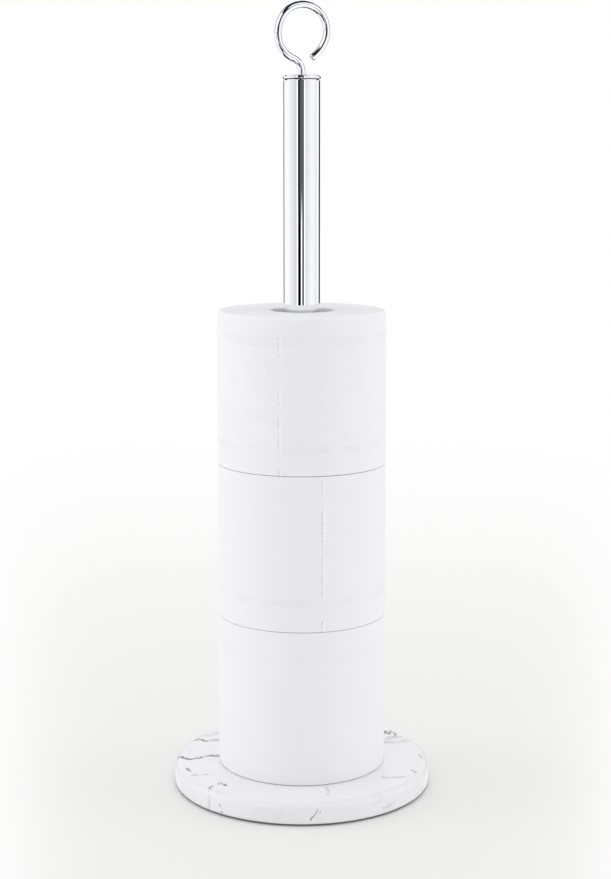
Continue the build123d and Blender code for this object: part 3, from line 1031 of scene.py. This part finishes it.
def make_floor():
    """Plain pale floor that keeps the object's shadow and goes over into the white background.

    Seen straight or in a mirror, it turns white by the share 1 - exp(-far), where far is
    (behind / its fade)^2 + (in front / its fade)^2 + beside^power. Beside is how far aside /
    (away + the camera's distance) lies from the wedge's middle, divided by half of its width.
    """
    mesh = bpy.data.meshes.new("floor")
    reach = 6.0
    corners = [(-reach, -reach, 0), (reach, -reach, 0), (reach, reach, 0), (-reach, reach, 0)]
    mesh.from_pydata(corners, [], [(0, 1, 2, 3)])
    floor = put("floor", mesh)
    make = Recipe(bpy.data.materials.new("floor_paint"))
    place = make.place()
    aside = make.vector("DOT_PRODUCT", place, (cos(VIEW_FROM), sin(VIEW_FROM), 0))
    away = make.vector("DOT_PRODUCT", place, (-sin(VIEW_FROM), cos(VIEW_FROM), 0))
    spread = make.plus(make.most(away, WEDGE_STARTS), VIEW_DISTANCE)
    beside = make.minus(make.math("DIVIDE", aside, spread), WEDGE_MIDDLE)
    beside = make.math("DIVIDE", make.math("ABSOLUTE", beside), WEDGE_HALF)
    in_front = make.most(make.minus(FRONT_STARTS, away), 0.0)
    in_front = make.math("DIVIDE", in_front, FADE_IN_FRONT)
    behind = make.math("DIVIDE", make.most(away, 0.0), FADE_BEHIND)
    far = make.plus(make.math("POWER", behind, 2.0), make.math("POWER", in_front, 2.0))
    far = make.plus(far, make.math("POWER", beside, WEDGE_POWER))
    white = make.minus(1.0, make.math("EXPONENT", make.times(far, -1.0)))
    rays = make.node("ShaderNodeLightPath").outputs
    seen = make.most(rays["Is Camera Ray"], rays["Is Glossy Ray"])
    seen = make.most(seen, rays["Is Transmission Ray"])
    paint = make.node("ShaderNodeBsdfDiffuse")
    paint.inputs["Color"].default_value = FLOOR_COLOUR
    glow = make.node("ShaderNodeEmission")
    shown = make.mix(make.times(white, seen), paint.outputs[0], glow.outputs[0])
    make.join(shown, make.node("ShaderNodeOutputMaterial").inputs["Surface"])
    mesh.materials.append(make.owner)
    floor.visible_glossy = False


# What the polished pole mirrors, as (degrees to the right of the camera, brightness): white soft
# boxes, pale grey gaps, and the dark slot that the camera looks through. The slot's middle is dark
# grey above level, and below it holds a white line and a grey one. The three parts of a row have 32
# stops at most.
LEFT_OF_SLOT = [
    (-180, 1.2), (-132, 1.2), (-120, 1.03), (-88, 1.05), (-78, 0.94), (-68, 0.87), (-54, 0.85),
    (-42, 0.73), (-33, 0.68), (-30, 1.4), (-26, 1.4),
]
RIGHT_OF_SLOT = [
    (19.5, 1.3), (22.5, 0.80), (28, 0.76), (34, 0.87), (48, 0.91), (56, 0.99), (82, 1.01), (92, 0.91),
    (106, 0.86), (113, 1.05), (120, 1.1), (128, 0.95),
]
SLOT_ABOVE = [(-24, 0.01), (-13, 0.03), (-8, 0.11), (-1, 0.14), (6, 0.12), (12.6, 0.03), (14.4, 1.3)]
SLOT_BELOW = [
    (-22, 0.0), (-6, 0.0), (-4, 1.5), (-1, 1.5), (1, 0.50), (5, 0.40), (7, 0.02), (12.8, 0.02),
    (14.6, 1.3),
]

# Degrees above level: where the slot's lower row goes over into its upper one and half of the way
# that it takes, then from where to where the rows come in below, and where they end above
LEVEL_LINE = -2.0
LEVEL_SOFT = 0.8
POLE_LOW_END = (-15.0, -6.0)
POLE_HIGH_END = 2.42

# Dark flags behind the stand, from one angle to the next: a pair that the pole mirrors, to the right
# of the camera, and a ring that the wire mirrors, round the direction straight away from the camera.
# Between two heights below level, the ring is weaker by a share, with soft ends.
LEFT_FLAG = (-185.0, -143.0)
RIGHT_FLAG = (135.0, 172.0)
FLAG_RING = (43.0, 71.0)
GREY_BELOW_LEVEL = (-38.0, -5.0)
GREY_SHARE = 0.55
GREY_SOFT = 3.0

# What the wire ring mirrors besides white: a curved dark screen, given as (degrees above level,
# degrees to the right of the camera, half of its width), and dark boxes, given as (from, to) to the
# right and (from, to) above level
SCREEN = [
    (-76, -95, 52), (-62, -95, 52), (-58, -55, 20), (-46, -48, 12), (-34, -38, 12), (-18, -26, 16),
    (-8, -8, 22), (0, 2, 29), (9, 2, 26), (16, -1, 14), (24, -6, 9), (33, -12, 10), (38, -27, 23),
    (46, -32, 28), (53, -25, 50), (58, 0, 100), (62, 0, 178), (91, 0, 178),
]
DARK_BOXES = [
    ((-58.0, 20.0), (POLE_HIGH_END, 3.3)), ((-158.0, -66.0), (-64.0, -46.0)),
    ((-185.0, -104.0), (38.0, 70.0)), ((88.0, 185.0), (40.0, 70.0)),
]
RING_WHITE = (1.08, 1.08, 1.08, 1)
DARK = (0.012, 0.012, 0.016, 1)
STUDIO_TINT = (0.985, 0.985, 1.03)
WHITE = (1, 1, 1, 1)

# Brightness of the plain light up to one height in degrees, and from another one on
WORLD_LEVEL = 0.86
ZENITH_LEVEL = 0.98
LEVEL_RISES = (15.0, 70.0)


def make_world():
    """White background for the camera, a plain level for soft light, and a studio for mirrors.

    The levels beside the pole are read by the direction round the axis, from one of two rows that
    follow each other with height. Above and below the pole's own heights, the wire ring mirrors a
    white studio with dark shapes in it. Dark flags behind the stand give polished metal its thin
    dark outlines: an upright pair beside the pole, and a ring above and below. The plain level
    rises a little towards the zenith.
    """
    world = bpy.data.worlds.new("studio")
    bpy.context.scene.world = world
    make = Recipe(world)
    direction = make.node("ShaderNodeTexCoord").outputs["Generated"]
    to_right = make.vector("DOT_PRODUCT", direction, (cos(VIEW_FROM), sin(VIEW_FROM), 0))
    to_camera = make.vector("DOT_PRODUCT", direction, (sin(VIEW_FROM), -cos(VIEW_FROM), 0))
    round_axis = make.times(make.math("ARCTAN2", to_right, to_camera), 180 / pi)
    up = make.times(make.math("ARCSINE", make.parts(direction)[2]), 180 / pi)
    off_axis = make.math("ARCCOSINE", make.times(to_camera, -1.0))
    off_axis = make.times(off_axis, 180 / pi)
    share_round = make.math("DIVIDE", make.plus(round_axis, 180.0), 360.0)

    def within(value, low, high, soft=0.05):
        rise = make.span(value, low - soft, low + soft)
        fall = make.span(value, high - soft, high + soft, 1.0, 0.0)
        return make.times(rise, fall)

    def row(slot):
        stops = LEFT_OF_SLOT + slot + RIGHT_OF_SLOT
        return make.ramp(share_round, [((at + 180) / 360, tone) for at, tone in stops])

    over_level = make.span(up, LEVEL_LINE - LEVEL_SOFT, LEVEL_LINE + LEVEL_SOFT)
    pole = make.blend(over_level, row(SLOT_BELOW), row(SLOT_ABOVE))
    beside_pole = make.times(make.span(up, *POLE_LOW_END), within(up, -90.0, POLE_HIGH_END))

    share_up = make.math("DIVIDE", make.plus(up, 90.0), 180.0)
    middle = make.ramp(share_up, [((at + 90) / 180, (aside + 180) / 360) for at, aside, half in SCREEN])
    half_wide = make.ramp(share_up, [((at + 90) / 180, half / 180) for at, aside, half in SCREEN])
    over = make.gap(share_round, middle)
    over = make.minus(make.times(over, 2.0), half_wide)
    shapes = make.span(over, -0.006, 0.006, 1.0, 0.0)
    shapes = make.times(shapes, within(up, SCREEN[0][0], SCREEN[-1][0], 1.0))
    for aside, above in DARK_BOXES:
        box = make.times(within(round_axis, *aside, 1.0), within(up, *above))
        shapes = make.most(shapes, box)
    level = make.blend(beside_pole, make.blend(shapes, RING_WHITE, DARK), pole)

    flag_pair = make.most(within(round_axis, *LEFT_FLAG), within(round_axis, *RIGHT_FLAG))
    grey = make.times(within(up, *GREY_BELOW_LEVEL, GREY_SOFT), -GREY_SHARE)
    flag_ring = make.times(within(off_axis, *FLAG_RING, 1.0), make.plus(grey, 1.0))
    flags = make.blend(beside_pole, flag_ring, flag_pair)
    level = make.blend(flags, level, DARK)
    level = make.vector("MULTIPLY", level, STUDIO_TINT)

    def light(colour, strength):
        made = make.node("ShaderNodeBackground")
        make.join(colour, made.inputs["Color"])
        make.join(strength, made.inputs["Strength"])
        return made.outputs[0]

    plain = light(WHITE, make.span(up, *LEVEL_RISES, WORLD_LEVEL, ZENITH_LEVEL))
    rays = make.node("ShaderNodeLightPath").outputs
    lit = make.mix(rays["Is Glossy Ray"], plain, light(level, 1.0))
    seen = make.most(rays["Is Camera Ray"], rays["Is Transmission Ray"])
    shown = make.mix(seen, lit, light(WHITE, 1.0))
    make.join(shown, make.node("ShaderNodeOutputWorld").inputs["Surface"])


# The two soft boxes, in metres, degrees and watts: their size, where they stand, the height that
# they face and their power
BOX_WIDE = 1.2
BOX_TALL = 1.6
BOX_DISTANCE = 1.9
BOX_UP = 12.0
BOX_ASIDE = 92.0
MIDDLE_HEIGHT = 0.25
LEFT_POWER = 7.4
RIGHT_POWER = 5.6


def make_soft_box(name, round_from_camera, power):
    """A large soft lamp that faces the middle of the stand from a direction round the axis."""
    lamp = bpy.data.lights.new(name, "AREA")
    lamp.shape = "RECTANGLE"
    lamp.size = BOX_WIDE
    lamp.size_y = BOX_TALL
    lamp.energy = power
    box = put(name, lamp)
    a = radians(round_from_camera) + VIEW_FROM
    e = radians(BOX_UP)
    out = BOX_DISTANCE * cos(e)
    box.location = (out * sin(a), -out * cos(a), MIDDLE_HEIGHT + BOX_DISTANCE * sin(e))
    box.rotation_euler = (pi / 2 - e, 0, a)
    box.visible_glossy = False


def make_camera():
    """The photograph's viewpoint: level round the axis, tilted down, its frame shifted up the stand."""
    eye = bpy.data.cameras.new("camera")
    eye.sensor_width = SENSOR
    eye.lens = FOCAL_PIXELS * SENSOR / PHOTO_HEIGHT
    eye.shift_x = (PHOTO_WIDTH / 2 - AXIS_PIXEL) / PHOTO_HEIGHT
    eye.shift_y = HORIZON_SHIFT
    eye.clip_end = 100
    camera = put("camera", eye)
    away = VIEW_DISTANCE * MM
    camera.location = (away * sin(VIEW_FROM), -away * cos(VIEW_FROM), VIEW_HEIGHT * MM)
    camera.rotation_euler = (pi / 2 - VIEW_TILT, 0, VIEW_FROM)
    bpy.context.scene.camera = camera


dress_object()
make_floor()
make_world()
make_soft_box("soft_box_left", -BOX_ASIDE, LEFT_POWER)
make_soft_box("soft_box_right", BOX_ASIDE, RIGHT_POWER)
make_camera()
bpy.context.scene.view_settings.view_transform = "Standard"
